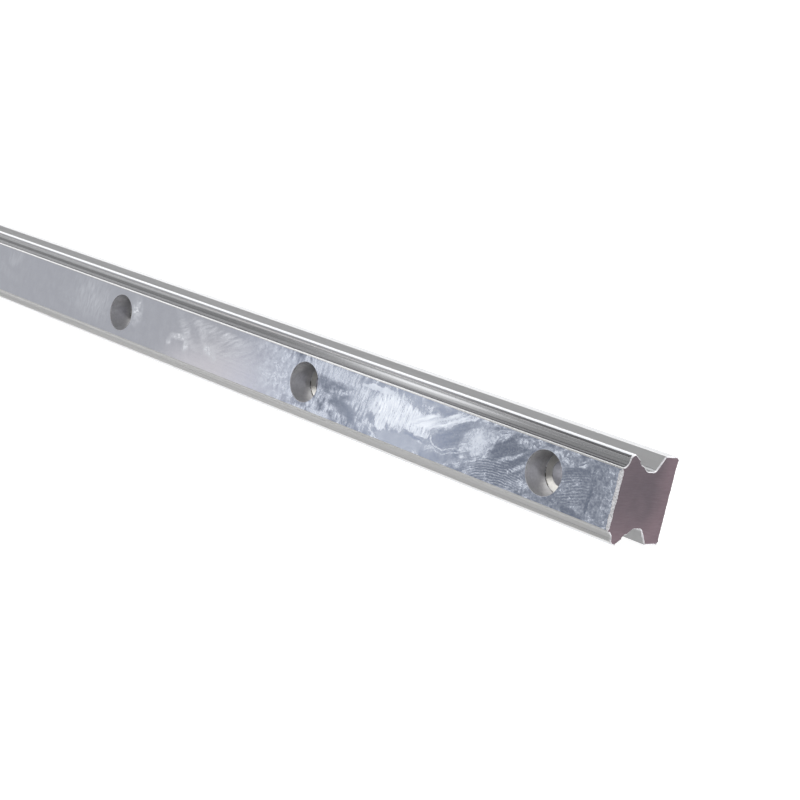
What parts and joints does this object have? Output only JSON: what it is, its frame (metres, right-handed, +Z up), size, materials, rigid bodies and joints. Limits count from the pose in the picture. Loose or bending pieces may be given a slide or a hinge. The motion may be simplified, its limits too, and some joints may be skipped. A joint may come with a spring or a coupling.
{
  "type": "linear guide rail",
  "caption": "Straight steel guide rail with ball grooves along both sides and a row of counterbored screw holes, for a sliding carriage to run on.",
  "frame": {"origin": "centre of the base face, on the surface that the rail lies on", "axes": "+X along the rail, +Y across it, +Z up out of the top face with the screw heads' counterbores"},
  "size_m": [0.45, 0.015, 0.015],
  "materials": {
    "ground_steel": "bare hardened steel, ground on the top, sides and grooves, with an oil film; end faces cut dull"
  },
  "bodies": {
    "root": {"guide_rail": "ground_steel"}
  },
  "joints": []
}
